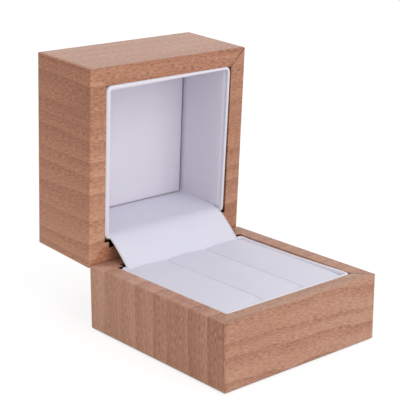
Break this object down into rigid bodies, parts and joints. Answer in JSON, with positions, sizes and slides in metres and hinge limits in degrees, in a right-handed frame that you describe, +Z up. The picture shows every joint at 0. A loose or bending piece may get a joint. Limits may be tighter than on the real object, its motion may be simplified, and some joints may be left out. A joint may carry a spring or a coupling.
{
  "type": "ring display box",
  "caption": "Small mitred wooden box for rings: hinged sprung lid, white leatherette lining and soft ring pads, shown open with its lid standing up behind.",
  "frame": {"origin": "centre of the base's underside", "axes": "+X to the box's right side, +Y to the rear where the open lid stands, +Z up; the lid is at its open rest"},
  "size_m": [0.075, 0.1122, 0.1033],
  "materials": {
    "beech_veneer": "beech veneer, open satin lacquer",
    "greyboard": "plain card",
    "foam": "cut foam block",
    "white_leatherette": "fine matt leatherette",
    "padded_leatherette": "fine matt leatherette over foam",
    "black_steel": "black plated spring steel",
    "plain_steel": "drawn steel, zinc plated"
  },
  "bodies": {
    "base": {"base_front_wall": "beech_veneer", "base_left_wall": "beech_veneer", "base_right_wall": "beech_veneer", "base_rear_rail": "beech_veneer", "base_floor": "beech_veneer", "base_collar": "greyboard", "base_lining": "white_leatherette", "insert_block": "foam", "pad_board": "greyboard", "ring_pad_left": "padded_leatherette", "ring_pad_middle": "padded_leatherette", "ring_pad_right": "padded_leatherette", "hinge_base_leaf": "black_steel", "hinge_base_screws": "plain_steel", "hinge_pin": "plain_steel", "hinge_spring": "plain_steel", "hinge_flap": "white_leatherette"},
    "lid": {"lid_front_wall": "beech_veneer", "lid_left_wall": "beech_veneer", "lid_right_wall": "beech_veneer", "lid_rear_rail": "beech_veneer", "lid_top_panel": "beech_veneer", "lid_collar": "greyboard", "lid_lining": "white_leatherette", "lid_back_board": "greyboard", "lid_back_pad": "padded_leatherette", "hinge_lid_leaf": "black_steel", "hinge_lid_screws": "plain_steel"}
  },
  "joints": [
    {"name": "lid_hinge", "type": "hinge", "parent": "base", "child": "lid", "pos_m": [0, 0.03744, 0.02541], "axis": [1, 0, 0], "range_deg": [0, 86.8], "deforming": ["hinge_flap", "hinge_spring"]}
  ]
}
